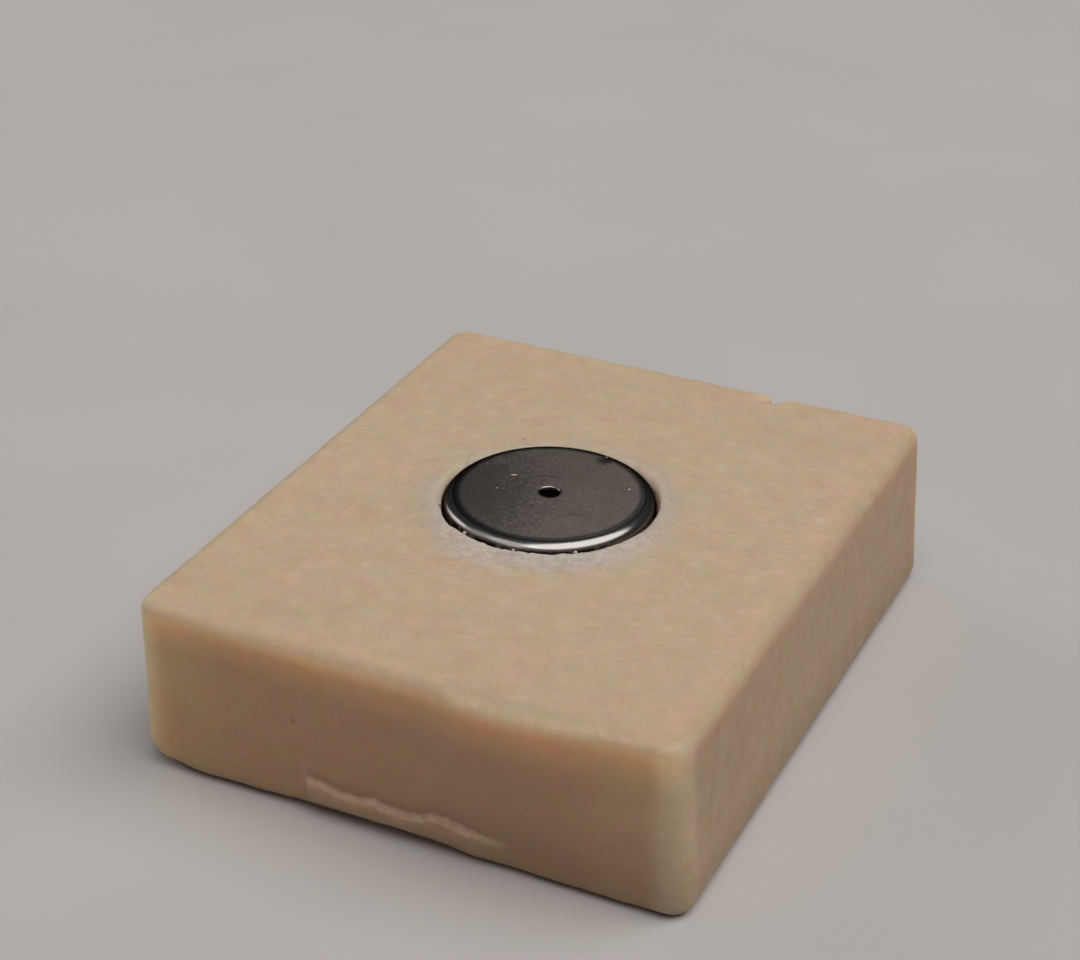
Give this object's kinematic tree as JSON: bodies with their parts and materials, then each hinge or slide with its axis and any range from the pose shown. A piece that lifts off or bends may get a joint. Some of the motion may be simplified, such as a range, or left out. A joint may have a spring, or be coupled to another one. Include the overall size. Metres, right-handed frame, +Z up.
{
  "type": "magnetic soap holder",
  "caption": "Soap bar with a round toothed steel cap pressed into its top face, whose flat disc a wall magnet grips to hang the bar clear of the basin.",
  "frame": {"origin": "under the middle of the bar's outline, on the surface that the bar lies on", "axes": "+Z up out of the face with the cap, +Y along the bar's longer side, the torn front face looks along -Y"},
  "size_m": [0.0684, 0.083, 0.0232],
  "materials": {
    "soap": "hand-cut pale tan soap, waxy and slightly translucent, rough and whitish where it was squeezed up or torn",
    "steel": "dark drawn steel, satin on the disc and smoother over the shoulder"
  },
  "bodies": {
    "bar": {"soap_bar": "soap"},
    "cap": {"steel_cap": "steel"}
  },
  "joints": [
    {"name": "cap_pull", "type": "slide", "parent": "bar", "child": "cap", "axis": [0, 0, 1], "range_m": [0, 0.012]}
  ]
}
